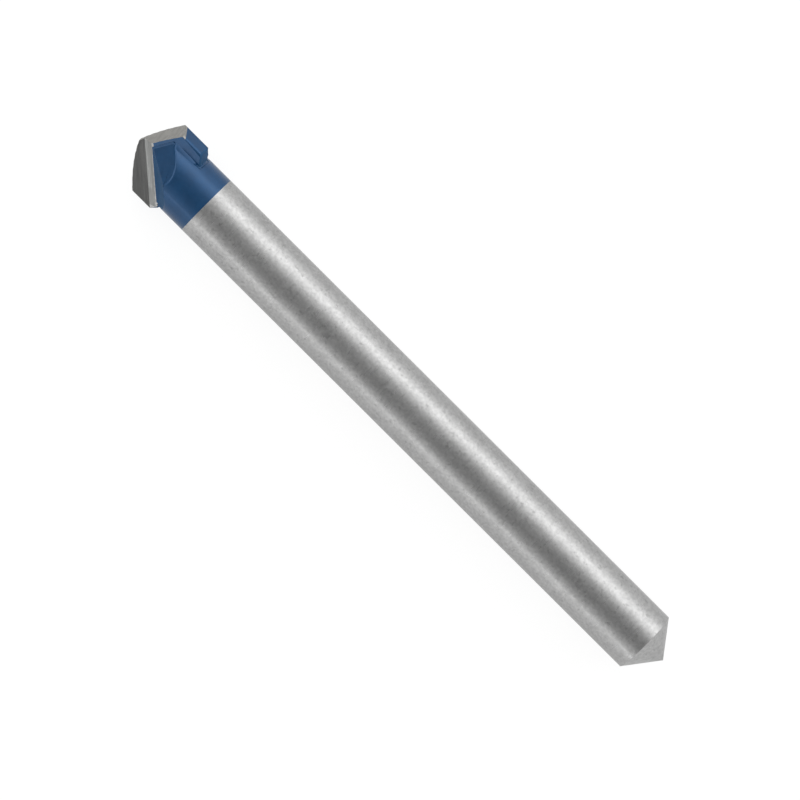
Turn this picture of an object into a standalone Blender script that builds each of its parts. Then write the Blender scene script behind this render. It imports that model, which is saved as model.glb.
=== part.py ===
# Glass and tile drill bit: a round steel shank with a slotted, lacquered head, a brazed
# carbide spear point and a cone-pointed rear end, lying on a flat surface.
#
# Tool frame, used until the bit is laid down: +X runs back along the axis from the
# point, Y runs across the width of the insert, Z runs through its thickness.
# World frame: metres, +Z up, origin under the middle of the bit on the surface.

import math

import bmesh
import bpy
from mathutils import Matrix, Vector

MM = 0.001

# Shank
OVERALL_LENGTH = 101.6 * MM
SHANK_DIAMETER = 9.525 * MM
REAR_CONE_ANGLE = math.radians(105.0)
LACQUER_LENGTH = 12.8 * MM

# Carbide insert
INSERT_WIDTH = 12.7 * MM
INSERT_THICKNESS = 2.5 * MM
INSERT_LENGTH = 8.7 * MM
HEEL_CHAMFER_LENGTH = 1.1 * MM
HEEL_CHAMFER_WIDTH = 1.75 * MM

# Point of the insert: each lip falls away from the centre, faster towards its corner
LIP_CENTRE_SLOPE = math.radians(20.5)
FIRST_LIP_SLOPE = math.radians(25.9)
SECOND_LIP_SLOPE = math.radians(32.8)
CENTRE_RELIEF = math.radians(33.0)
CORNER_RELIEF = math.radians(24.0)

# Gash in front of each lip: its floor is the rake face, its wall rises to the insert's face
WEB_HALF_THICKNESS = 0.12 * MM
GASH_DEPTH_AT_SIDE = 0.21 * MM
GASH_ROOT_SETBACK = 0.82 * MM
GASH_ROOT_OFFSET = 0.23 * MM
GASH_RIM_SETBACK = 1.8 * MM
GASH_RIM_OFFSET = 1.6 * MM
GASH_ROOT_ANGLE = math.radians(45.5)
GASH_RIM_ANGLE = math.radians(42.7)

# Ground faces of the two steel jaws
GULLET_SLOPE = math.radians(49.0)
CLEARANCE_SLOPE = math.radians(33.2)
CLEARANCE_TURN = math.radians(26.6)
CLEARANCE_SETBACK = 1.25 * MM

# Braze joint
BRAZE_FILM = 0.12 * MM
BEAD_ON_WING = 0.95 * MM
BEAD_ON_JAW = 0.3 * MM
BEAD_AT_HEEL = 1.0 * MM
SEAT_GAP = 0.04 * MM

# Rest on the surface: the corner of the lower wing stays this far above it
REST_GAP = 0.02 * MM

# Fineness of the round and curved faces
ROUND_SIDES = 96
LIP_STATIONS = 14
GASH_STATIONS = 16

SHANK_RADIUS = SHANK_DIAMETER / 2
HALF_WIDTH = INSERT_WIDTH / 2
HALF_THICKNESS = INSERT_THICKNESS / 2
RAKE_RISE = (HALF_THICKNESS - GASH_DEPTH_AT_SIDE - WEB_HALF_THICKNESS) / HALF_WIDTH
GASH_ROOT_START = (GASH_ROOT_SETBACK, GASH_ROOT_OFFSET)
GASH_RIM_START = (GASH_RIM_SETBACK, GASH_RIM_OFFSET)
SLOT_HALF_WIDTH = HALF_THICKNESS + BRAZE_FILM + 2 * SEAT_GAP
SLOT_DEPTH = INSERT_LENGTH + BRAZE_FILM + 2 * SEAT_GAP
REAR_CONE_LENGTH = SHANK_RADIUS / math.tan(REAR_CONE_ANGLE / 2)

# A cutter reaches this far past whatever it trims
REACH = 2 * max(INSERT_WIDTH, SHANK_DIAMETER)

# The flat side of the round bar and the wing's corner both come down to the surface
REST_HEIGHT = SHANK_RADIUS * math.cos(math.pi / ROUND_SIDES)
WING_REACH = math.hypot(HALF_WIDTH, HALF_THICKNESS)
WING_RATIO = min(1.0, (REST_HEIGHT - REST_GAP) / WING_REACH)
REST_ROLL = math.asin(WING_RATIO) - math.atan2(HALF_THICKNESS, HALF_WIDTH)

HALF_TURN = Matrix.Rotation(math.pi, 3, "X")

STEEL = ("ground_steel", (0.56, 0.56, 0.55), 0.3, 1.0)
LACQUER = ("blue_lacquer", (0.022, 0.085, 0.2), 0.35, 0.3)
CARBIDE = ("ground_carbide", (0.3, 0.3, 0.29), 0.35, 1.0)
FILLER = ("braze_filler", (0.62, 0.55, 0.36), 0.4, 1.0)


def clear_scene():
    for item in list(bpy.data.objects):
        bpy.data.objects.remove(item, do_unlink=True)


def make_material(name, colour, roughness, metallic):
    material = bpy.data.materials.new(name)
    material.use_nodes = True
    shader = material.node_tree.nodes["Principled BSDF"]
    shader.inputs["Base Color"].default_value = (*colour, 1.0)
    shader.inputs["Roughness"].default_value = roughness
    shader.inputs["Metallic"].default_value = metallic
    material.diffuse_color = (*colour, 1.0)
    return material


def make_object(name, bm, materials):
    """Links the mesh as an object, with its faces pointing outwards."""
    bmesh.ops.recalc_face_normals(bm, faces=bm.faces)
    mesh = bpy.data.meshes.new(name)
    bm.to_mesh(mesh)
    bm.free()
    for material in materials:
        mesh.materials.append(material)
    item = bpy.data.objects.new(name, mesh)
    bpy.context.scene.collection.objects.link(item)
    return item


def extrude_outline(outline, direction):
    """A closed prism: the outline, moved along the direction."""
    bm = bmesh.new()
    face = bm.faces.new([bm.verts.new(point) for point in outline])
    grown = bmesh.ops.extrude_face_region(bm, geom=[face])
    moved = [part for part in grown["geom"] if isinstance(part, bmesh.types.BMVert)]
    bmesh.ops.translate(bm, verts=moved, vec=direction)
    return bm


def loft_sections(sections):
    """A closed solid through a row of four-cornered sections."""
    bm = bmesh.new()
    rings = [[bm.verts.new(point) for point in section] for section in sections]
    for ring, following in zip(rings, rings[1:]):
        for corner in range(4):
            after = (corner + 1) % 4
            bm.faces.new((ring[corner], ring[after], following[after], following[corner]))
    bm.faces.new(rings[0])
    bm.faces.new(rings[-1])
    bmesh.ops.triangulate(bm, faces=bm.faces)
    return bm


def half_space(point, normal):
    """A block whose one face lies on the plane and which stays on the side Z > 0."""
    bm = bmesh.new()
    bmesh.ops.create_cube(bm, size=2 * REACH)
    turn = normal.to_track_quat("Z", "Y").to_matrix().to_4x4()
    place = Matrix.Translation(point + normal * REACH) @ turn
    bmesh.ops.transform(bm, matrix=place, verts=bm.verts)
    parts = bm.verts[:] + bm.edges[:] + bm.faces[:]
    cut = bmesh.ops.bisect_plane(
        bm, geom=parts, plane_co=(0, 0, 0), plane_no=(0, 0, 1), clear_inner=True
    )
    rim = [part for part in cut["geom_cut"] if isinstance(part, bmesh.types.BMEdge)]
    bmesh.ops.contextual_create(bm, geom=rim)
    return bm


def both_sides(name, bm, materials):
    """Two cutters, the second turned half a turn about the axis."""
    first = make_object(name + "_1", bm, materials)
    second = first.copy()
    second.data = first.data.copy()
    second.name = name + "_2"
    second.data.transform(HALF_TURN.to_4x4())
    bpy.context.scene.collection.objects.link(second)
    return [first, second]


def cut_with(item, cutters):
    for cutter in cutters:
        cutter.hide_render = True
        cutter.display_type = "WIRE"
        modifier = item.modifiers.new("cut " + cutter.name, "BOOLEAN")
        modifier.operation = "DIFFERENCE"
        modifier.solver = "EXACT"
        modifier.material_mode = "TRANSFER"
        modifier.object = cutter


def join_with(item, others):
    for other in others:
        other.hide_render = True
        other.display_type = "WIRE"
        modifier = item.modifiers.new("join " + other.name, "BOOLEAN")
        modifier.operation = "UNION"
        modifier.solver = "EXACT"
        modifier.material_mode = "TRANSFER"
        modifier.object = other


def shade_round(item):
    item.data.shade_smooth()
    item.data.set_sharp_from_angle(angle=math.radians(30))


# Shared lines of the point

def gash_line(start, angle, along):
    """A point on a line of the gash, seen square to the insert's face."""
    return (start[0] + along * math.sin(angle), start[1] - along * math.cos(angle))


def gash_floor(y):
    """Height of the rake face over the middle of the insert, on the side Y < 0."""
    return WEB_HALF_THICKNESS - RAKE_RISE * y


# Steel shank and head

def shank_blank(steel, lacquer):
    """The turned bar, with a cone at the rear and an edge where the lacquer ends."""
    profile = [
        (0.0, 0.0),
        (0.0, SHANK_RADIUS),
        (LACQUER_LENGTH, SHANK_RADIUS),
        (OVERALL_LENGTH - REAR_CONE_LENGTH, SHANK_RADIUS),
        (OVERALL_LENGTH, 0.0),
    ]
    # The bar's flat sides are turned so that one of them lies on the surface
    first_angle = -math.pi / 2 - REST_ROLL + math.pi / ROUND_SIDES
    across = Vector((0.0, math.cos(first_angle), math.sin(first_angle)))
    bm = bmesh.new()
    points = [bm.verts.new(Vector((x, 0, 0)) + across * r) for x, r in profile]
    edges = [bm.edges.new(pair) for pair in zip(points, points[1:])]
    bmesh.ops.spin(
        bm, geom=points + edges, cent=(0, 0, 0), axis=(1, 0, 0),
        angle=2 * math.pi, steps=ROUND_SIDES, use_merge=True,
    )
    bmesh.ops.remove_doubles(bm, verts=bm.verts, dist=0.001 * MM)
    for face in bm.faces:
        face.material_index = int(face.calc_center_median().x < LACQUER_LENGTH)
    return make_object("shank", bm, [steel, lacquer])


def slot_cutter(lacquer):
    bm = bmesh.new()
    bmesh.ops.create_cube(bm, size=1.0)
    size = Matrix.Diagonal((2 * SLOT_DEPTH, 2 * REACH, 2 * SLOT_HALF_WIDTH, 1.0))
    bmesh.ops.transform(bm, matrix=size, verts=bm.verts)
    return make_object("slot_cutter", bm, [lacquer])


def clearance_cutters(lacquer):
    """The flat that clears each jaw behind the lip it backs."""
    rise = math.tan(CLEARANCE_SLOPE)
    normal = Vector((-rise, rise * math.tan(CLEARANCE_TURN), 1.0)).normalized()
    point = Vector((CLEARANCE_SETBACK, 0.0, HALF_THICKNESS))
    return both_sides("clearance_cutter", half_space(point, normal), [lacquer])


def gullet_cutters(lacquer):
    """The wall that opens each jaw in front of the next lip, along the rim of its gash."""
    rise = math.tan(GULLET_SLOPE)
    away = Vector((-math.cos(GASH_RIM_ANGLE), -math.sin(GASH_RIM_ANGLE), 0.0))
    normal = (away * rise + Vector((0.0, 0.0, 1.0))).normalized()
    point = Vector((*GASH_RIM_START, HALF_THICKNESS))
    return both_sides("gullet_cutter", half_space(point, normal), [lacquer])


# Carbide insert

def insert_blank(carbide, lacquer):
    """The sintered plate, with its two rear corners cut away."""
    heel = INSERT_LENGTH - HEEL_CHAMFER_LENGTH
    tail_width = HALF_WIDTH - HEEL_CHAMFER_WIDTH
    outline = [
        (-HALF_WIDTH, -HALF_WIDTH, -HALF_THICKNESS),
        (heel, -HALF_WIDTH, -HALF_THICKNESS),
        (INSERT_LENGTH, -tail_width, -HALF_THICKNESS),
        (INSERT_LENGTH, tail_width, -HALF_THICKNESS),
        (heel, HALF_WIDTH, -HALF_THICKNESS),
        (-HALF_WIDTH, HALF_WIDTH, -HALF_THICKNESS),
    ]
    bm = extrude_outline(outline, (0, 0, INSERT_THICKNESS))
    for face in bm.faces:
        face.material_index = 1
    return make_object("carbide_insert", bm, [carbide, lacquer])


def relief_cutter(name, lip_slope, carbide):
    """What the grinding of one lip takes off: all ahead of the lip and its relief."""
    slope = math.tan(LIP_CENTRE_SLOPE)
    corner_drop = math.tan(lip_slope) * HALF_WIDTH
    lift = math.tan(CENTRE_RELIEF) * WEB_HALF_THICKNESS
    bow = (corner_drop + lift - slope * HALF_WIDTH) / HALF_WIDTH**2
    depth = 2 * HALF_THICKNESS
    sections = []
    for station in range(LIP_STATIONS + 1):
        y = HALF_WIDTH * (1.1 * 2 * station / LIP_STATIONS - 1.1)
        outwards = max(y, 0.0)
        turn = CENTRE_RELIEF + (CORNER_RELIEF - CENTRE_RELIEF) * outwards / HALF_WIDTH
        relief = math.tan(turn)
        lip = slope * y + bow * outwards**2 - lift
        near = lip + relief * (depth + gash_floor(-y))
        far = lip - relief * (depth - gash_floor(-y))
        sections.append([
            (-REACH, y, -depth),
            (far, y, -depth),
            (near, y, depth),
            (-REACH, y, depth),
        ])
    return make_object(name, loft_sections(sections), [carbide])


def gash_cutters(carbide):
    """The gash in front of each lip: a floor, and a wall that flattens outwards."""
    sections = []
    for station in range(GASH_STATIONS + 1):
        along = HALF_WIDTH * (2.6 * station / GASH_STATIONS - 0.4)
        root = Vector((*gash_line(GASH_ROOT_START, GASH_ROOT_ANGLE, along), 0.0))
        rim = Vector((*gash_line(GASH_RIM_START, GASH_RIM_ANGLE, along), HALF_THICKNESS))
        root.z = min(gash_floor(root.y), HALF_THICKNESS - SEAT_GAP)
        outer = root + (root - rim) * (REACH / HALF_WIDTH)
        outer.z = gash_floor(outer.y)
        rim += (rim - root) * 0.6
        sections.append([root, rim, Vector((outer.x, outer.y, 2 * REACH)), outer])
    return both_sides("gash_cutter", loft_sections(sections), [carbide])


def half_turned(item):
    item.data.transform(HALF_TURN.to_4x4())
    return item


# Braze joint

def braze_channel(filler, lacquer):
    """The film round the seated insert, reaching out into the beads along the jaws."""
    outer = SLOT_HALF_WIDTH - SEAT_GAP
    edge = math.sqrt(SHANK_RADIUS**2 - outer**2)
    reach = edge + BEAD_ON_JAW
    back = SLOT_DEPTH - SEAT_GAP
    heel = INSERT_LENGTH - HEEL_CHAMFER_LENGTH
    half = [(0, reach), (heel, reach), (INSERT_LENGTH, edge), (back, edge)]
    outline = [(x, y, -outer) for x, y in half]
    outline += [(x, -y, -outer) for x, y in reversed(half)]
    return make_object("braze", extrude_outline(outline, (0, 0, 2 * outer)), [lacquer, filler])


def insert_space_cutter(filler):
    bm = bmesh.new()
    bmesh.ops.create_cube(bm, size=1.0)
    length = 2 * (INSERT_LENGTH + SEAT_GAP)
    height = 2 * (HALF_THICKNESS + SEAT_GAP)
    size = Matrix.Diagonal((length, 2 * REACH, height, 1.0))
    bmesh.ops.transform(bm, matrix=size, verts=bm.verts)
    return make_object("insert_space_cutter", bm, [filler])


def bar_cutter(lacquer):
    """The round of the bar, grown by the gap, which hollows the back of each bead."""
    bm = bmesh.new()
    radius = SHANK_RADIUS + SEAT_GAP
    bmesh.ops.create_cone(
        bm, segments=ROUND_SIDES, radius1=radius, radius2=radius, depth=4 * REACH,
        cap_ends=True, matrix=Matrix.Rotation(math.pi / 2, 4, "Y"),
    )
    return make_object("bar_cutter", bm, [lacquer])


def bead_section(x, on_wing, on_jaw):
    """Corners of the bead: out on the wing, up on the jaw, and two within the bar."""
    foot = HALF_THICKNESS + SEAT_GAP
    root = math.sqrt(SHANK_RADIUS**2 - foot**2)
    climb = math.asin(foot / SHANK_RADIUS) + on_jaw / SHANK_RADIUS
    top = (SHANK_RADIUS * math.cos(climb), SHANK_RADIUS * math.sin(climb))
    return [
        (x, root + on_wing, foot), (x, *top),
        (x, top[0] - BEAD_ON_JAW, top[1]), (x, root - BEAD_ON_JAW, foot),
    ]


def bead(name, side_y, side_z, lacquer):
    """Filler in the corner between a wing and a jaw, which swells to cover the wing's heel."""
    heel = INSERT_LENGTH - HEEL_CHAMFER_LENGTH
    whole_wing = HALF_WIDTH - SHANK_RADIUS
    stations = (
        (0, BEAD_ON_WING, BEAD_ON_JAW),
        (heel - BEAD_AT_HEEL, BEAD_ON_WING, BEAD_ON_JAW),
        (heel, whole_wing, BEAD_ON_JAW),
        (heel + 0.8 * HEEL_CHAMFER_LENGTH, 0.25 * whole_wing, BEAD_ON_JAW),
    )
    sections = []
    for station in stations:
        corners = bead_section(*station)
        sections.append([(x, y * side_y, z * side_z) for x, y, z in corners])
    return make_object(name, loft_sections(sections), [lacquer])


def lay_down(pieces):
    """Rolls the bit until a wing meets the surface and centres it over the origin."""
    axis = bpy.data.objects.new("bit_axis", None)
    axis.location = (-OVERALL_LENGTH / 2, 0.0, REST_HEIGHT)
    axis.rotation_euler = (REST_ROLL, 0.0, 0.0)
    bpy.context.scene.collection.objects.link(axis)
    for piece in pieces:
        piece.parent = axis


def build():
    clear_scene()
    steel = make_material(*STEEL)
    lacquer = make_material(*LACQUER)
    carbide = make_material(*CARBIDE)
    filler = make_material(*FILLER)

    clearance = clearance_cutters(lacquer)
    gullets = gullet_cutters(lacquer)
    slot = slot_cutter(lacquer)
    shank = shank_blank(steel, lacquer)
    cut_with(shank, clearance + gullets + [slot])

    insert = insert_blank(carbide, lacquer)
    first_relief = relief_cutter("relief_cutter_1", FIRST_LIP_SLOPE, carbide)
    second_relief = half_turned(relief_cutter("relief_cutter_2", SECOND_LIP_SLOPE, carbide))
    gashes = gash_cutters(carbide)
    cut_with(insert, [first_relief, second_relief] + gashes)

    bar = bar_cutter(lacquer)
    beads = []
    for number, (side_y, side_z) in enumerate(((1, 1), (-1, 1), (1, -1), (-1, -1))):
        beads.append(bead("bead_%d" % number, side_y, side_z, lacquer))
        cut_with(beads[-1], [bar])
    insert_space = insert_space_cutter(filler)
    braze = braze_channel(filler, lacquer)
    join_with(braze, beads)
    cut_with(braze, [insert_space] + clearance + gullets)

    for piece in (shank, insert, braze):
        shade_round(piece)
    helpers = clearance + gullets + gashes + beads
    helpers += [slot, first_relief, second_relief, bar, insert_space]
    lay_down([shank, insert, braze] + helpers)


build()
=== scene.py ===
"""Looks of the glass and tile drill bit: its finished pieces, stage, lights and camera."""

import logging
import math
from collections.abc import Callable
from dataclasses import dataclass
from enum import Enum

import bmesh
import bpy
from mathutils import Matrix, Vector


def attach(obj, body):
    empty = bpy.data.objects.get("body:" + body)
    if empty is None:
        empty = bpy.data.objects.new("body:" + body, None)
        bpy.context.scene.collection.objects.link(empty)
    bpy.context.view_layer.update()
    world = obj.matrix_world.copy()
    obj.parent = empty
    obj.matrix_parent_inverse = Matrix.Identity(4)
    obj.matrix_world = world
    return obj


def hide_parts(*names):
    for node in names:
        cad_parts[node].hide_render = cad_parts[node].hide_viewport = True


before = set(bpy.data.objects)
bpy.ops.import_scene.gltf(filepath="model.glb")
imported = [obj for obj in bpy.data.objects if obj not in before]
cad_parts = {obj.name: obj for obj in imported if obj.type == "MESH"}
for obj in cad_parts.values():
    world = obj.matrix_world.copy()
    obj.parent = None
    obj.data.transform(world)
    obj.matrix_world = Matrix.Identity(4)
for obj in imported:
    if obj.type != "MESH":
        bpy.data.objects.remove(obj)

LOG = logging.getLogger("drill_bit")
MM = 0.001
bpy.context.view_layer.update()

Pair = tuple[float, float]
Triple = tuple[float, float, float]

# The bit's own frame: X back from the point, Y across the insert, Z through it
LENGTH = 101.6 * MM
SHANK_RADIUS = 4.7625 * MM
BAR_SIDES = 96
REST_HEIGHT = SHANK_RADIUS * math.cos(math.pi / BAR_SIDES)
REST_ROLL = math.radians(35.86)
TO_BIT = Matrix.Rotation(-REST_ROLL, 4, "X") @ Matrix.Translation((LENGTH / 2, 0, -REST_HEIGHT))
FROM_BIT = TO_BIT.inverted()
BACK = Vector((1.0, 0.0, 0.0))
ACROSS = Vector((0.0, 1.0, 0.0))

# A face is square to an axis, or nearly square, where its normal has more of the axis than this
SQUARE = 0.999
NEARLY_SQUARE = 0.99

# Corners closer than this become one, and so do faces that meet at less than this angle
MERGE_DISTANCE = 0.0005 * MM
FLAT_ANGLE = math.radians(0.3)

# How many faces a rounded edge has across it
EDGE_STEPS = 4


class Zone(Enum):
    """Where on a piece a finish goes, numbered in the order of the piece's materials."""

    BARE = 0
    LACQUERED = 1
    RELIEF = 2
    RAKE = 3
    WALL = 4
    # Inner walls and heels: a low-gloss copy of the lacquer, as painted shade
    DULL = 5


def within(value: float, limits: Pair) -> bool:
    """Tells whether a value lies between two limits."""
    return limits[0] < value < limits[1]


def grey(tone: float) -> tuple[float, float, float, float]:
    """An opaque grey, where 0 is black and 1 is white."""
    return (tone, tone, tone, 1.0)


class Graph:
    """A small helper that adds and links the nodes of one material or world."""

    # Where most values of a noise lie
    noise_range: Pair = (0.3, 0.7)

    def __init__(self, tree: bpy.types.NodeTree) -> None:
        """Starts an empty node tree.

        Args:
            tree: the node tree to fill.
        """
        self.tree = tree
        self.tree.nodes.clear()

    def add(self, kind: str, settings: dict | None = None, **inputs: object) -> bpy.types.Node:
        """Adds a node.

        Args:
            kind: the node's type, without the ShaderNode prefix.
            settings: properties of the node itself.
            inputs: socket values, or the sockets to link to them, with _ for a space.

        Returns:
            The new node.
        """
        node = self.tree.nodes.new("ShaderNode" + kind)
        for name, value in (settings or {}).items():
            setattr(node, name, value)
        for name, value in inputs.items():
            socket = self.socket(node, name)
            if isinstance(value, bpy.types.NodeSocket):
                self.tree.links.new(value, socket)
            else:
                socket.default_value = value
        return node

    @staticmethod
    def socket(node: bpy.types.Node, name: str) -> bpy.types.NodeSocket:
        """Finds an input by its name, or by its number written as in_0.

        Args:
            node: the node that has the input.
            name: the input's name, with _ for a space.

        Returns:
            The input socket.
        """
        if name.startswith("in_"):
            return node.inputs[int(name[3:])]
        return node.inputs[name.replace("_", " ")]

    def math(self, operation: str, first: object, second: object) -> bpy.types.NodeSocket:
        """Joins two values by a Math node.

        Args:
            operation: the node's operation.
            first: the first value or socket.
            second: the second value or socket.

        Returns:
            The result.
        """
        return self.add("Math", {"operation": operation}, in_0=first, in_1=second).outputs[0]

    def step(self, value: bpy.types.NodeSocket, start: float, end: float) -> bpy.types.NodeSocket:
        """A soft step from zero at the start to one at the end.

        Args:
            value: what the step follows.
            start: where it is zero.
            end: where it is one.

        Returns:
            The step's value.
        """
        node = self.add(
            "MapRange", {"interpolation_type": "SMOOTHSTEP"}, Value=value, From_Min=start, From_Max=end
        )
        return node.outputs["Result"]

    def bit_coordinates(self, scale: Triple) -> bpy.types.NodeSocket:
        """Object coordinates turned into the bit's own frame, in millimetres times a scale.

        Args:
            scale: how many pattern units a millimetre holds along X, Y and Z.

        Returns:
            The vector socket.
        """
        place = self.add("TexCoord").outputs["Object"]
        turned = self.add(
            "Mapping", {"vector_type": "POINT"}, Vector=place,
            Location=TO_BIT.to_translation(), Rotation=(-REST_ROLL, 0.0, 0.0),
        )
        stretch = self.add(
            "Mapping", Vector=turned.outputs[0], Scale=tuple(value / MM for value in scale)
        )
        return stretch.outputs[0]

    def noise(self, vector: bpy.types.NodeSocket, detail: float) -> bpy.types.NodeSocket:
        """Noise along a vector.

        Args:
            vector: the coordinates.
            detail: how many finer layers it has.

        Returns:
            The noise's value, around a half.
        """
        node = self.add("TexNoise", Vector=vector, Scale=1.0, Detail=detail, Roughness=0.6)
        return node.outputs["Fac"]

    def vary(self, noise: bpy.types.NodeSocket, mean: float, change: float) -> bpy.types.NodeSocket:
        """Maps a noise to a range round a mean.

        Args:
            noise: the noise.
            mean: the middle of the range.
            change: how far the range reaches to either side of it.

        Returns:
            The mapped value.
        """
        low, high = self.noise_range
        node = self.add(
            "MapRange", Value=noise, From_Min=low, From_Max=high,
            To_Min=mean - change, To_Max=mean + change,
        )
        return node.outputs["Result"]

    def shade(self, colour: Triple, value: bpy.types.NodeSocket) -> bpy.types.NodeSocket:
        """A colour made darker or lighter by a value around 1.

        Args:
            colour: the mean colour.
            value: what it is multiplied by.

        Returns:
            The colour socket.
        """
        tone = self.add("CombineColor", Red=value, Green=value, Blue=value)
        mixed = self.add(
            "Mix", {"data_type": "RGBA", "blend_type": "MULTIPLY"},
            in_0=1.0, in_6=(*colour, 1.0), in_7=tone.outputs[0],
        )
        return mixed.outputs[2]


def new_material(name: str) -> tuple[bpy.types.Material, Graph]:
    """Makes an empty node material.

    Args:
        name: the material's name.

    Returns:
        The material and its graph.
    """
    material = bpy.data.materials.new(name)
    material.use_nodes = True
    return material, Graph(material.node_tree)


@dataclass(frozen=True)
class GroundSteel:
    """Ground tool steel: grey metal with fine marks round the bar, soft clouds and small pits."""

    colour: Triple = (0.452, 0.452, 0.45)
    roughness: float = 0.3
    roughness_change: float = 0.04
    # Pattern units in a millimetre along X, Y and Z
    ring_scale: Triple = (5.0, 0.5, 0.5)
    grain_scale: Triple = (2.2, 2.2, 2.2)
    cloud_scale: Triple = (0.35, 0.35, 0.35)
    pit_scale: Triple = (1.4, 1.4, 1.4)
    # How much each of these changes the tone, and between which values of its noise a pit deepens
    grain_change: float = 0.16
    cloud_change: float = 0.05
    pit_change: float = 0.2
    pit_edge: Pair = (0.6, 0.7)
    mark_strength: float = 0.35
    mark_height: float = 0.004 * MM

    def make(self) -> bpy.types.Material:
        """Builds the steel's material.

        Returns:
            The material.
        """
        material, graph = new_material("ground_steel")
        rings = graph.noise(graph.bit_coordinates(self.ring_scale), detail=4.0)
        grain = graph.noise(graph.bit_coordinates(self.grain_scale), detail=5.0)
        height = graph.math("ADD", rings, grain)
        bump = graph.add("Bump", Strength=self.mark_strength, Distance=self.mark_height, Height=height)
        cloud = graph.noise(graph.bit_coordinates(self.cloud_scale), detail=3.0)
        dips = graph.noise(graph.bit_coordinates(self.pit_scale), detail=2.0)
        pits = graph.step(dips, *self.pit_edge)
        speckle = graph.vary(grain, 1.0, self.grain_change)
        tone = graph.math("MULTIPLY", speckle, graph.vary(cloud, 1.0, self.cloud_change))
        tone = graph.math("SUBTRACT", tone, graph.math("MULTIPLY", pits, self.pit_change))
        shader = graph.add(
            "BsdfPrincipled", Base_Color=graph.shade(self.colour, tone), Metallic=1.0,
            Roughness=graph.vary(rings, self.roughness, self.roughness_change),
            Normal=bump.outputs[0],
        )
        graph.add("OutputMaterial", Surface=shader.outputs[0])
        return material


@dataclass(frozen=True)
class BlueLacquer:
    """Dark blue metallic lacquer over the steel and the wings."""

    name: str = "blue_lacquer"
    colour: Triple = (0.001, 0.057, 0.162)
    metallic: float = 0.36
    roughness: float = 0.22
    specular: float = 0.72
    roughness_change: float = 0.05
    cloud_scale: Triple = (0.5, 0.5, 0.5)
    cloud_change: float = 0.1
    grain_scale: Triple = (2.0, 2.0, 2.0)
    grain_strength: float = 0.4
    grain_height: float = 0.006 * MM

    def make(self) -> bpy.types.Material:
        """Builds the lacquer's material.

        Returns:
            The material.
        """
        material, graph = new_material(self.name)
        cloud = graph.noise(graph.bit_coordinates(self.cloud_scale), detail=3.0)
        grain = graph.noise(graph.bit_coordinates(self.grain_scale), detail=4.0)
        bump = graph.add("Bump", Strength=self.grain_strength, Distance=self.grain_height, Height=grain)
        tone = graph.vary(cloud, 1.0, self.cloud_change)
        shader = graph.add(
            "BsdfPrincipled", Base_Color=graph.shade(self.colour, tone),
            Metallic=self.metallic, Specular_IOR_Level=self.specular,
            Roughness=graph.vary(grain, self.roughness, self.roughness_change),
            Normal=bump.outputs[0],
        )
        graph.add("OutputMaterial", Surface=shader.outputs[0])
        return material


@dataclass(frozen=True)
class GroundCarbide:
    """Tungsten carbide with the straight marks of one grinding wheel, in a colour given per face."""

    name: str
    colour: Triple
    roughness: float
    mark_height: float
    # How far the marks are turned from straight across the bit
    mark_turn: float = 0.0
    mark_scale: Triple = (4.5, 0.35, 1.0)
    mark_strength: float = 0.6
    mark_change: float = 0.18

    def make(self) -> bpy.types.Material:
        """Builds the carbide's material.

        Returns:
            The material.
        """
        material, graph = new_material(self.name)
        place = graph.bit_coordinates((1.0, 1.0, 1.0))
        turned = graph.add("Mapping", Vector=place, Rotation=(0.0, 0.0, self.mark_turn))
        stretched = graph.add("Mapping", Vector=turned.outputs[0], Scale=self.mark_scale)
        streaks = graph.noise(stretched.outputs[0], detail=4.0)
        bump = graph.add("Bump", Strength=self.mark_strength, Distance=self.mark_height, Height=streaks)
        tone = graph.vary(streaks, 1.0, self.mark_change)
        shader = graph.add(
            "BsdfPrincipled", Base_Color=graph.shade(self.colour, tone), Metallic=1.0,
            Roughness=self.roughness, Normal=bump.outputs[0],
        )
        graph.add("OutputMaterial", Surface=shader.outputs[0])
        return material


class Finishes:
    """The materials of the bit, made once and shared by its pieces."""

    # How far the marks on the rake and in the gash are turned from straight across the bit
    slant: float = -0.79

    def __init__(self) -> None:
        """Makes every finish."""
        self.steel = GroundSteel().make()
        self.lacquer = BlueLacquer().make()
        # A low-gloss copy of the lacquer as painted shade: the jaws' inner walls and the wings' heels
        # mirror little of the bright surroundings, so they render darker
        self.painted_shade_lacquer = BlueLacquer(
            name="painted_shade_blue_lacquer", colour=(0.025, 0.085, 0.185), metallic=0.15, roughness=0.6,
            specular=0.1,
        ).make()
        self.relief = GroundCarbide(
            name="relief_ground_carbide", colour=(0.33, 0.325, 0.31), roughness=0.36,
            mark_height=0.01 * MM,
        ).make()
        # The rake's carbide is much darker than the relief's and the gash's: painted shade that makes
        # the rake face render dark
        self.rake = GroundCarbide(
            name="rake_carbide_painted_shade", colour=(0.14, 0.14, 0.138), roughness=0.42,
            mark_height=0.02 * MM, mark_turn=self.slant,
        ).make()
        self.wall = GroundCarbide(
            name="gash_ground_carbide", colour=(0.3, 0.305, 0.3), roughness=0.3,
            mark_height=0.01 * MM, mark_turn=self.slant,
        ).make()

    def put_on(
        self, piece: bpy.types.Object, zone: Callable[[bpy.types.MeshPolygon], Zone]
    ) -> None:
        """Gives each face of a piece the finish of its zone.

        Args:
            piece: the piece, still without materials.
            zone: tells the zone of a face.
        """
        in_zone_order = (self.steel, self.lacquer, self.relief, self.rake, self.wall, self.painted_shade_lacquer)
        for material in in_zone_order:
            piece.data.materials.append(material)
        for face in piece.data.polygons:
            face.material_index = zone(face).value


def select_only(item: bpy.types.Object) -> None:
    """Deselects everything else and makes the piece active.

    Args:
        item: the piece.
    """
    bpy.ops.object.select_all(action="DESELECT")
    item.select_set(True)
    bpy.context.view_layer.objects.active = item


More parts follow.
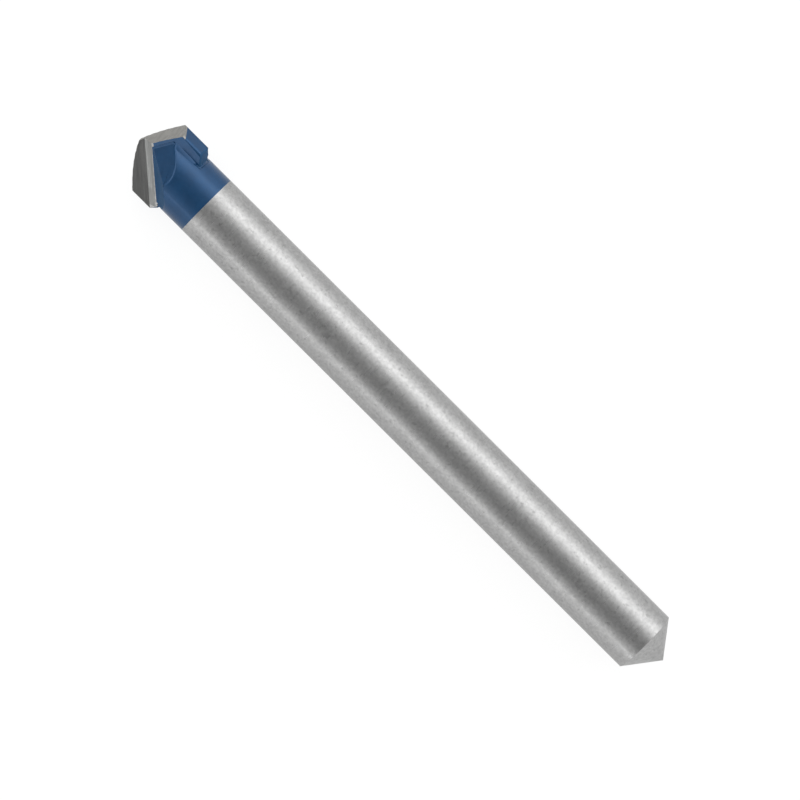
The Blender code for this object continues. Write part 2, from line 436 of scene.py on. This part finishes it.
def smooth_copy(node: str) -> bpy.types.Object:
    """Copies a node's solid and merges its triangles into whole faces.

    Args:
        node: the CAD node.

    Returns:
        The new piece.
    """
    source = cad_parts[node]
    piece = bpy.data.objects.new(node + "_finished", source.data.copy())
    bpy.context.scene.collection.objects.link(piece)
    piece.data.materials.clear()
    select_only(piece)
    bpy.ops.object.mode_set(mode="EDIT")
    bpy.ops.mesh.select_all(action="SELECT")
    bpy.ops.mesh.remove_doubles(threshold=MERGE_DISTANCE)
    bpy.ops.mesh.normals_make_consistent(inside=False)
    bpy.ops.mesh.dissolve_limited(angle_limit=FLAT_ANGLE)
    bpy.ops.object.mode_set(mode="OBJECT")
    return piece


def cut_across(piece: bpy.types.Object, point: Vector, normal: Vector) -> None:
    """Adds edges where a plane crosses the whole piece.

    Args:
        piece: the piece.
        point: a point of the plane, in the bit's frame.
        normal: the plane's normal, in the bit's frame.
    """
    select_only(piece)
    bpy.ops.object.mode_set(mode="EDIT")
    bpy.ops.mesh.select_all(action="SELECT")
    bpy.ops.mesh.bisect(plane_co=FROM_BIT @ point, plane_no=FROM_BIT.to_3x3() @ normal)
    bpy.ops.object.mode_set(mode="OBJECT")


def round_edges(
    piece: bpy.types.Object, wanted: Callable[[bmesh.types.BMEdge], bool], width: float
) -> None:
    """Rounds the edges that a test picks.

    Args:
        piece: the piece.
        wanted: tells whether an edge that two faces share is rounded.
        width: how far the rounding reaches from the edge.
    """
    select_only(piece)
    bpy.ops.object.mode_set(mode="EDIT")
    bpy.ops.mesh.select_mode(type="EDGE")
    bpy.ops.mesh.select_all(action="DESELECT")
    mesh = bmesh.from_edit_mesh(piece.data)
    for edge in mesh.edges:
        edge.select_set(len(edge.link_faces) == 2 and wanted(edge))
    bmesh.update_edit_mesh(piece.data)
    bpy.ops.mesh.bevel(offset=width, segments=EDGE_STEPS, affect="EDGES")
    bpy.ops.object.mode_set(mode="OBJECT")


def shade_faces(piece: bpy.types.Object, angle: float) -> None:
    """Shades the rounds smooth and keeps the large faces flat.

    Args:
        piece: the piece.
        angle: edges sharper than this stay hard.
    """
    select_only(piece)
    bpy.ops.object.shade_smooth_by_angle(angle=angle)
    weighted = piece.modifiers.new("flat_faces", "WEIGHTED_NORMAL")
    weighted.keep_sharp = True
    bpy.ops.object.modifier_apply(modifier=weighted.name)


def dress(piece: bpy.types.Object, node: str) -> None:
    """Makes the piece stand for its node and logs it.

    Args:
        piece: the finished piece.
        node: the CAD node that it replaces.
    """
    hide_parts(node)
    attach(piece, "root")
    LOG.info("%s: %d faces, for %s", piece.name, len(piece.data.polygons), node)


def bit_normal(face: bmesh.types.BMFace | bpy.types.MeshPolygon) -> Vector:
    """The face's normal in the bit's frame."""
    return TO_BIT.to_3x3() @ face.normal


def bit_middle(edge: bmesh.types.BMEdge) -> Vector:
    """The edge's middle in the bit's frame."""
    return TO_BIT @ ((edge.verts[0].co + edge.verts[1].co) / 2)


@dataclass
class Shank:
    """The steel bar with its jaws, bare behind the lacquer."""

    lacquer_length: float = 12.8 * MM
    edge_rounding: float = 0.2 * MM
    # How far from the rear end the bar gets a ring of edges
    cone_rings: tuple[float, ...] = (0.12 * MM, 0.5 * MM, 1.6 * MM)
    # The least angle of an edge that is rounded, and of one that is shaded hard
    ground_angle: float = math.radians(12)
    hard_angle: float = math.radians(20)
    # An inner wall's normal has less of X than this, and its Y times its Z is less than that
    wall_lean: float = -0.3
    wall_twist: float = -0.12

    def ground_edge(self, edge: bmesh.types.BMEdge) -> bool:
        """Tells whether the edge is one that the grinding left on a jaw.

        Args:
            edge: an edge of the bar.

        Returns:
            True on the head's outer edges, apart from those of the slot.
        """
        if bit_middle(edge).x > self.lacquer_length or edge.calc_face_angle(0.0) < self.ground_angle:
            return False
        normals = [bit_normal(face) for face in edge.link_faces]
        return all(abs(normal.z) < NEARLY_SQUARE and normal.x > -NEARLY_SQUARE for normal in normals)

    def zone(self, face: bpy.types.MeshPolygon) -> Zone:
        """Tells the bare bar from the lacquered head and its inner walls, which get a low-gloss copy of
        the lacquer as painted shade.

        Args:
            face: a face of the bar.

        Returns:
            The finish that the face has.
        """
        if (TO_BIT @ face.center).x > self.lacquer_length:
            return Zone.BARE
        normal = bit_normal(face)
        # Inner walls that look forward get the low-gloss copy of the lacquer as painted shade
        inner = normal.x < self.wall_lean and normal.y * normal.z < self.wall_twist
        return Zone.DULL if inner else Zone.LACQUERED

    def build(self, finishes: Finishes) -> bpy.types.Object:
        """Finishes the bar.

        Args:
            finishes: the bit's materials.

        Returns:
            The piece.
        """
        piece = smooth_copy("shank")
        cut_across(piece, BACK * self.lacquer_length, BACK)
        for ring in self.cone_rings:
            cut_across(piece, BACK * (LENGTH - ring), BACK)
        round_edges(piece, self.ground_edge, self.edge_rounding)
        shade_faces(piece, self.hard_angle)
        finishes.put_on(piece, self.zone)
        dress(piece, "shank")
        return piece


@dataclass
class Insert:
    """The carbide plate with its ground point and lacquered wings."""

    half_thickness: float = 1.25 * MM
    half_width: float = 6.35 * MM
    # How far back the wings' heels begin
    heel: float = 7.0 * MM
    rim_rounding: float = 0.24 * MM
    side_rounding: float = 0.5 * MM
    heel_rounding: float = 0.25 * MM
    hard_angle: float = math.radians(20)
    # How far behind the relief a wing's side is bare
    bare_corner: float = 0.42 * MM
    # Widths that a wing's side, and one face of its rounding, stay under
    side_limit: float = 3 * half_thickness
    rounding_limit: float = 0.7 * side_rounding
    # How near the middle of a face is to the side of the plate that it lies on
    near: float = 0.02 * MM
    # An area that the faces of a gash's rim rounding with the painted highlight stay under
    rim_highlight_area: float = rim_rounding * MM
    # Limits to the share of X in a face's normal, which is negative where the face looks forward
    relief_lean: float = -0.65
    rake_lean: float = 0.06
    heel_lean: float = 0.03
    strip_lean: float = 0.05
    # The least share of Y in the normal of a side's strip, and of Z in that of a rim face with the
    # painted highlight
    strip_side: float = 0.17
    rim_highlight_flat: float = 0.8
    # The shares of X for the wall of a gash, and those of X and Y for the faces that cut the heel
    gash_leans: Pair = (-0.6, -0.1)
    cut_leans: Pair = (0.75, 0.95)
    cut_sides: Pair = (0.4, 0.65)

    def strip_zone(self, face: bpy.types.MeshPolygon, limit: float) -> Zone:
        """Tells the bare end of a strip along a wing's side from its lacquered rest.

        Args:
            face: a face of the strip.
            limit: a width that the strip stays under.

        Returns:
            The finish that the face has.
        """
        return Zone.RELIEF if face.area < self.bare_corner * limit else Zone.LACQUERED

    def zone(self, face: bpy.types.MeshPolygon) -> Zone:
        """Tells a ground face from one that kept the lacquer.

        Args:
            face: a face of the insert.

        Returns:
            The finish that the face has.
        """
        centre = TO_BIT @ face.center
        normal = bit_normal(face)
        if abs(abs(centre.z) - self.half_thickness) < self.near and abs(normal.z) > SQUARE:
            return Zone.LACQUERED
        if abs(abs(centre.y) - self.half_width) < self.near and abs(normal.y) > SQUARE:
            return self.strip_zone(face, self.side_limit)
        # Heel faces that look back get the low-gloss copy of the lacquer as painted shade
        if centre.x > self.heel and normal.x > self.heel_lean:
            return Zone.DULL
        if abs(normal.x) < self.strip_lean and abs(normal.y) > self.strip_side:
            return self.strip_zone(face, self.rounding_limit)
        if normal.x < self.relief_lean:
            return Zone.RELIEF
        if abs(normal.x) < self.rake_lean:
            # The rake face gets the darker carbide, a painted shade
            return Zone.RAKE
        # The small, nearly flat faces of a gash's real rim rounding get the brighter bare steel: a
        # painted highlight along the rim
        rim_highlight = abs(normal.z) > self.rim_highlight_flat and face.area < self.rim_highlight_area
        return Zone.BARE if rim_highlight else Zone.WALL

    def rim_edge(self, edge: bmesh.types.BMEdge) -> bool:
        """Tells whether the edge is the rim of a gash on the plate's flat side."""
        steep, flat = sorted((bit_normal(face) for face in edge.link_faces), key=lambda n: abs(n.z))
        return abs(flat.z) > SQUARE and within(steep.x, self.gash_leans)

    def trailing_edge(self, edge: bmesh.types.BMEdge) -> bool:
        """Tells whether the edge is the long worn one between a wing's side and its trailing face.

        Args:
            edge: an edge of the insert.

        Returns:
            True on that edge of either wing.
        """
        middle = bit_middle(edge)
        normals = [bit_normal(face) for face in edge.link_faces]
        sideways = any(abs(normal.y) > NEARLY_SQUARE for normal in normals)
        flat = any(abs(normal.z) > NEARLY_SQUARE for normal in normals)
        return sideways and flat and middle.y * middle.z > 0

    def heel_edge(self, edge: bmesh.types.BMEdge) -> bool:
        """Tells whether the edge bounds one of the two faces that cut the heel's corners.

        Args:
            edge: an edge of the insert.

        Returns:
            True on every edge of those faces.
        """
        normals = [bit_normal(face) for face in edge.link_faces]
        return any(
            within(normal.x, self.cut_leans) and within(abs(normal.y), self.cut_sides)
            for normal in normals
        )

    def strip_corner(self, piece: bpy.types.Object, side: int) -> None:
        """Parts a narrow strip of a wing's side behind the relief, where the lacquer is ground away.

        Args:
            piece: the insert.
            side: 1 for the wing on the side Y > 0, -1 for the other.
        """
        select_only(piece)
        bpy.ops.object.mode_set(mode="EDIT")
        bpy.ops.mesh.select_mode(type="FACE")
        bpy.ops.mesh.select_all(action="DESELECT")
        mesh = bmesh.from_edit_mesh(piece.data)
        ends = []
        for face in mesh.faces:
            normal = bit_normal(face)
            if abs(normal.x) > self.strip_lean or normal.y * side < self.strip_side:
                continue
            face.select_set(True)
            if normal.y * side < NEARLY_SQUARE:
                continue
            for edge in face.edges:
                if any(bit_normal(other).x < self.relief_lean for other in edge.link_faces):
                    ends += [TO_BIT @ vertex.co for vertex in edge.verts]
        bmesh.update_edit_mesh(piece.data)
        ends.sort(key=lambda place: place.z)
        along = (ends[-1] - ends[0]).normalized()
        start = ends[0] + BACK * self.bare_corner
        bpy.ops.mesh.bisect(
            plane_co=FROM_BIT @ start, plane_no=FROM_BIT.to_3x3() @ along.cross(ACROSS)
        )
        bpy.ops.object.mode_set(mode="OBJECT")

    def build(self, finishes: Finishes) -> bpy.types.Object:
        """Finishes the insert.

        Args:
            finishes: the bit's materials.

        Returns:
            The piece.
        """
        piece = smooth_copy("carbide_insert")
        round_edges(piece, self.rim_edge, self.rim_rounding)
        round_edges(piece, self.trailing_edge, self.side_rounding)
        round_edges(piece, self.heel_edge, self.heel_rounding)
        for side in (1, -1):
            self.strip_corner(piece, side)
        shade_faces(piece, self.hard_angle)
        finishes.put_on(piece, self.zone)
        dress(piece, "carbide_insert")
        return piece


@dataclass(frozen=True)
class Station:
    """One place along a bead, in millimetres: how far back it is, its middle and its half sizes."""

    back: float
    across: float
    out: float
    half_width: float
    half_height: float


@dataclass
class Braze:
    """The filler round the insert and the beads along the wings, under the lacquer."""

    swell: float = 0.045 * MM
    hard_angle: float = math.radians(35)
    # Where a bead lies, in Y and Z, and how far it leans
    corner: Pair = (4.333 * MM, 1.401 * MM)
    lean: float = math.radians(52)
    bead_sides: int = 16
    bead_levels: int = 2
    stations: tuple[Station, ...] = (
        Station(3.6, 0.45, -0.20, 0.40, 0.18),
        Station(4.0, 0.40, 0.0, 0.65, 0.33),
        Station(4.7, 0.10, 0.02, 0.95, 0.35),
        Station(5.6, 0.0, -0.05, 1.10, 0.35),
        Station(7.2, 0.0, -0.05, 1.10, 0.35),
        Station(7.9, 0.0, -0.12, 1.00, 0.33),
        Station(8.4, 0.0, -0.30, 0.60, 0.20),
    )
    # A pool's middle and its half sizes
    pool_middle: Triple = (8.3 * MM, 4.42 * MM, 0.0)
    pool_size: Triple = (0.8 * MM, 0.45 * MM, 1.45 * MM)
    pool_rings: int = 16

    def film(self) -> bpy.types.Object:
        """The thin layer between the insert and the jaws, grown to meet them both.

        Returns:
            The layer.
        """
        piece = smooth_copy("braze")
        bpy.ops.object.select_all(action="DESELECT")
        bpy.ops.mesh.primitive_cylinder_add(
            vertices=BAR_SIDES, radius=SHANK_RADIUS, depth=LENGTH, rotation=(0.0, math.pi / 2, 0.0),
            location=(0.0, 0.0, REST_HEIGHT),
        )
        bar = bpy.context.object
        bpy.ops.object.transform_apply(location=True, rotation=True, scale=False)
        select_only(piece)
        trim = piece.modifiers.new("trim", "BOOLEAN")
        trim.operation = "INTERSECT"
        trim.solver = "EXACT"
        trim.object = bar
        bpy.ops.object.modifier_apply(modifier=trim.name)
        bpy.data.objects.remove(bar, do_unlink=True)
        bpy.ops.object.mode_set(mode="EDIT")
        bpy.ops.mesh.select_all(action="SELECT")
        bpy.ops.transform.shrink_fatten(value=self.swell)
        bpy.ops.object.mode_set(mode="OBJECT")
        return piece

    @staticmethod
    def seat(drop: bpy.types.Object, place: Matrix, half_turn: bool) -> None:
        """Moves a drop of braze, the one object selected, to its place on the lying bit.

        Args:
            drop: the bead or the pool.
            place: where it goes on the first wing, in the bit's frame.
            half_turn: whether it goes to the second wing, half a turn round the axis.
        """
        turn = Matrix.Rotation(math.pi if half_turn else 0.0, 4, "X")
        drop.matrix_world = FROM_BIT @ turn @ place
        bpy.ops.object.transform_apply(location=True, rotation=True, scale=True)

    def bead(self, half_turn: bool) -> bpy.types.Object:
        """A run of braze in the corner between a wing and its jaw.

        Args:
            half_turn: whether it lies on the second wing.

        Returns:
            The bead.
        """
        bpy.ops.object.select_all(action="DESELECT")
        bpy.ops.mesh.primitive_circle_add(
            vertices=self.bead_sides, radius=1.0, fill_type="NGON", rotation=(0.0, math.pi / 2, 0.0)
        )
        bead = bpy.context.object
        bpy.ops.object.transform_apply(location=False, rotation=True, scale=False)
        bpy.ops.object.mode_set(mode="EDIT")
        bpy.ops.mesh.select_all(action="SELECT")
        middle = Vector((0.0, 0.0, 0.0))
        width = height = 1.0
        for number, station in enumerate(self.stations):
            place = Vector((station.back, station.across, station.out)) * MM
            if number:
                bpy.ops.mesh.extrude_region_move(TRANSFORM_OT_translate={"value": place - middle})
            else:
                bpy.ops.transform.translate(value=place)
            across, out = station.half_width * MM, station.half_height * MM
            bpy.ops.transform.resize(value=(1.0, across / width, out / height), center_override=place)
            middle, width, height = place, across, out
        bpy.ops.mesh.select_all(action="SELECT")
        bpy.ops.mesh.normals_make_consistent(inside=False)
        bpy.ops.object.mode_set(mode="OBJECT")
        lie = Matrix.Translation((0.0, *self.corner)) @ Matrix.Rotation(-self.lean, 4, "X")
        self.seat(bead, lie, half_turn)
        rounded = bead.modifiers.new("rounded", "SUBSURF")
        rounded.levels = rounded.render_levels = self.bead_levels
        bpy.ops.object.modifier_apply(modifier=rounded.name)
        return bead

    def pool(self, half_turn: bool) -> bpy.types.Object:
        """The braze that ran together behind a wing's heel and closes the slot's end.

        Args:
            half_turn: whether it lies behind the second wing.

        Returns:
            The pool.
        """
        bpy.ops.object.select_all(action="DESELECT")
        bpy.ops.mesh.primitive_uv_sphere_add(
            segments=2 * self.pool_rings, ring_count=self.pool_rings, radius=1.0
        )
        pool = bpy.context.object
        pool.scale = self.pool_size
        bpy.ops.object.transform_apply(location=False, rotation=False, scale=True)
        self.seat(pool, Matrix.Translation(self.pool_middle), half_turn)
        return pool

    def build(self, finishes: Finishes) -> bpy.types.Object:
        """Finishes the braze.

        Args:
            finishes: the bit's materials.

        Returns:
            The piece.
        """
        piece = self.film()
        drops = [self.bead(False), self.bead(True), self.pool(False), self.pool(True)]
        select_only(piece)
        for drop in drops:
            drop.select_set(True)
        bpy.ops.object.join()
        shade_faces(piece, self.hard_angle)
        piece.data.materials.append(finishes.lacquer)
        dress(piece, "braze")
        return piece


@dataclass(frozen=True)
class Softbox:
    """A soft light that faces the bit and stays out of its reflections, where the tent shows."""

    name: str
    centre: Triple
    # Its width and its height
    size: Pair
    # How bright its face is, where 1 is white
    radiance: float

    def build(self) -> None:
        """Hangs the light in its place."""
        data = bpy.data.lights.new(self.name, "AREA")
        data.shape = "RECTANGLE"
        data.size, data.size_y = self.size
        data.energy = self.radiance * math.pi * self.size[0] * self.size[1]
        light = bpy.data.objects.new(self.name, data)
        light.location = self.centre
        light.rotation_euler = Vector(self.centre).to_track_quat("Z", "Y").to_euler()
        light.visible_glossy = False
        bpy.context.scene.collection.objects.link(light)


@dataclass
class Studio:
    """The pale floor, the white surroundings, the light tent and the soft lights."""

    # How white the surroundings are in metal, and how bright they are as a light
    world_in_metal: float = 1.0
    world_light: float = 0.7
    floor_half: float = 1.5
    floor_drop: float = 0.02 * MM
    floor_in_metal: float = 0.35
    # How pale the floor is as a surface, and how much of its white is glow or can be shadowed
    floor_tone: float = 0.8
    floor_glow: float = 0.86
    floor_shadowed: float = 0.22
    tent_radius: float = 0.95
    tent_half: float = 2.0
    tent_foot: float = 1.0 * MM
    tent_sides: int = 96
    # How bright the tent is at each angle from overhead, in degrees towards +Y
    tent_tones: tuple[Pair, ...] = (
        (-90, 1.1), (-80, 1.0), (-75, 0.8), (-70, 2.0), (-65, 0.8), (-60, 0.85), (-40, 0.42),
        (-25, 0.3), (-10, 0.29), (15, 0.5), (30, 1.05), (45, 1.7), (55, 2.1), (65, 1.6),
        (80, 1.1), (90, 1.05),
    )
    # The brightness that the tent's ramp holds as 1
    full_tone: float = 4.0
    # A lit hoop ahead of the point: how bright it is, and where it fades in along X and in angle
    hoop: float = 1.8
    hoop_front: Pair = (-0.95, -0.75)
    hoop_back: Pair = (-0.28, -0.45)
    hoop_sides: tuple[Pair, ...] = ((-0.9, -0.6), (0.7, 0.4))
    # The tent's end ahead of the point: the share of its light that it keeps, and where along X the
    # rest of the light comes back
    dark_end: float = 0.55
    dark_fade: Pair = (-1.35, -1.05)
    softboxes: tuple[Softbox, ...] = (
        Softbox("main_softbox", (0.0, 0.75, 0.5), (1.6, 0.35), 1.8),
        Softbox("low_strip", (0.0, -0.85, 0.16), (1.6, 0.2), 1.1),
    )

    @staticmethod
    def seen(graph: Graph, in_metal: float) -> bpy.types.NodeSocket:
        """How white a background shows: fully to the camera and through glass, else not at all.

        Args:
            graph: the graph that gets the nodes.
            in_metal: the share of white that shows in metal.

        Returns:
            The share of white.
        """
        path = graph.add("LightPath").outputs
        glossy = graph.math("MULTIPLY", path["Is Glossy Ray"], in_metal)
        direct = graph.math("MAXIMUM", path["Is Camera Ray"], path["Is Transmission Ray"])
        return graph.math("MAXIMUM", direct, glossy)

    def surroundings(self) -> None:
        """White all round for the camera and in the metal, softer as a light."""
        world = bpy.data.worlds.new("white_studio")
        bpy.context.scene.world = world
        world.use_nodes = True
        graph = Graph(world.node_tree)
        share = self.seen(graph, self.world_in_metal)
        strength = graph.add("MapRange", Value=share, To_Min=self.world_light, To_Max=1.0)
        shader = graph.add("Background", Color=grey(1.0), Strength=strength.outputs["Result"])
        graph.add("OutputWorld", Surface=shader.outputs[0])

    def floor(self) -> None:
        """A pale floor that stays white to the camera and keeps the bit's shadow."""
        bpy.ops.object.select_all(action="DESELECT")
        bpy.ops.mesh.primitive_plane_add(size=2 * self.floor_half, location=(0, 0, -self.floor_drop))
        plane = bpy.context.object
        plane.name = "floor"
        material, graph = new_material("pale_floor")
        pale = graph.add("BsdfDiffuse", Color=grey(self.floor_tone))
        shaded = graph.add("BsdfDiffuse", Color=grey(self.floor_shadowed))
        glow = graph.add("Emission", Color=grey(1.0), Strength=self.floor_glow)
        white = graph.add("AddShader", in_0=shaded.outputs[0], in_1=glow.outputs[0])
        share = self.seen(graph, self.floor_in_metal)
        shader = graph.add("MixShader", Fac=share, in_1=pale.outputs[0], in_2=white.outputs[0])
        graph.add("OutputMaterial", Surface=shader.outputs[0])
        plane.data.materials.append(material)

    def tent_material(self) -> bpy.types.Material:
        """The tent's glow: dark overhead, a broad light on one side and a low strip on the other.

        Returns:
            The material.
        """
        material, graph = new_material("tent_glow")
        place = graph.add("SeparateXYZ", Vector=graph.add("TexCoord").outputs["Object"]).outputs
        angle = graph.math("ARCTAN2", place["Y"], place["Z"])
        along = graph.add("MapRange", Value=angle, From_Min=-math.pi / 2, From_Max=math.pi / 2)
        ramp = graph.add("ValToRGB", Fac=along.outputs["Result"])
        stops = ramp.color_ramp.elements
        first, *middle, last = self.tent_tones
        for stop, (_, tone) in zip(stops, (first, last)):
            stop.color = grey(tone / self.full_tone)
        for degrees, tone in middle:
            stops.new((degrees + 90) / 180).color = grey(tone / self.full_tone)
        hoop = graph.step(place["X"], *self.hoop_front)
        hoop = graph.math("MULTIPLY", hoop, graph.step(place["X"], *self.hoop_back))
        for fade in self.hoop_sides:
            hoop = graph.math("MULTIPLY", hoop, graph.step(angle, *fade))
        hoop = graph.math("MULTIPLY", hoop, self.hoop / self.full_tone)
        glow = graph.math("MAXIMUM", ramp.outputs[0], hoop)
        dark_start, dark_stop = self.dark_fade
        shade = graph.add(
            "MapRange", {"interpolation_type": "SMOOTHSTEP"}, Value=place["X"],
            From_Min=dark_start, From_Max=dark_stop, To_Min=self.dark_end, To_Max=1.0,
        )
        glow = graph.math("MULTIPLY", glow, shade.outputs["Result"])
        strength = graph.math("MULTIPLY", glow, self.full_tone)
        shader = graph.add("Emission", Color=grey(1.0), Strength=strength)
        graph.add("OutputMaterial", Surface=shader.outputs[0])
        return material

    def tent(self) -> None:
        """A half round light tent over the bit, which shows in the metal and not to the camera."""
        bpy.ops.object.select_all(action="DESELECT")
        bpy.ops.mesh.primitive_cylinder_add(
            vertices=self.tent_sides, radius=self.tent_radius, depth=2 * self.tent_half,
            end_fill_type="NOTHING", rotation=(0.0, math.pi / 2, 0.0),
        )
        shell = bpy.context.object
        shell.name = "light_tent"
        bpy.ops.object.transform_apply(location=False, rotation=True, scale=False)
        bpy.ops.object.mode_set(mode="EDIT")
        bpy.ops.mesh.select_all(action="SELECT")
        bpy.ops.mesh.bisect(plane_co=(0, 0, self.tent_foot), plane_no=(0, 0, 1), clear_inner=True)
        bpy.ops.object.mode_set(mode="OBJECT")
        shell.data.materials.append(self.tent_material())
        shell.visible_camera = False
        shell.visible_diffuse = False
        shell.visible_shadow = False

    def build(self) -> None:
        """Sets the stage."""
        self.surroundings()
        self.floor()
        self.tent()
        for softbox in self.softboxes:
            softbox.build()
        LOG.info("studio: floor, tent and %d lights", len(self.softboxes))


@dataclass
class PhotoCamera:
    """The camera of the photograph, high over the bit and turned to lay it on the diagonal."""

    # Where the eye is: above the bit's axis, and along X from its middle
    height: float = 0.717
    along: float = -0.0236
    turn: float = math.radians(44.91)
    pixels_per_mm: float = 7.27
    frame_pixels: float = 800.0
    # The pixel on which the bit's middle falls
    middle: Pair = (402.2, 400.4)
    sensor: float = 36.0
    clip: Pair = (0.01, 10.0)

    def build(self) -> None:
        """Places the camera and makes it the scene's own."""
        target = Vector((0.0, 0.0, REST_HEIGHT))
        eye = Vector((self.along, 0.0, REST_HEIGHT + self.height))
        forward = (target - eye).normalized()
        right = forward.cross(Vector((-math.sin(self.turn), math.cos(self.turn), 0.0))).normalized()
        up = right.cross(forward)
        view_width = self.frame_pixels * MM / self.pixels_per_mm
        half_frame = self.frame_pixels / 2
        data = bpy.data.cameras.new("photo_camera")
        data.sensor_width = self.sensor
        data.lens = self.sensor * (target - eye).length / view_width
        data.shift_x = (half_frame - self.middle[0]) / self.frame_pixels
        data.shift_y = (self.middle[1] - half_frame) / self.frame_pixels
        data.clip_start, data.clip_end = self.clip
        camera = bpy.data.objects.new("photo_camera", data)
        basis = Matrix((right, up, -forward)).transposed()
        camera.matrix_world = Matrix.Translation(eye) @ basis.to_4x4()
        bpy.context.scene.collection.objects.link(camera)
        bpy.context.scene.camera = camera


def main() -> None:
    """Builds the camera, the pieces and the stage in order."""
    logging.basicConfig(level=logging.INFO, format="%(message)s")
    bpy.context.scene.view_settings.view_transform = "Standard"
    PhotoCamera().build()
    finishes = Finishes()
    Shank().build(finishes)
    Insert().build(finishes)
    Braze().build(finishes)
    Studio().build()


if __name__ == "__main__":
    main()
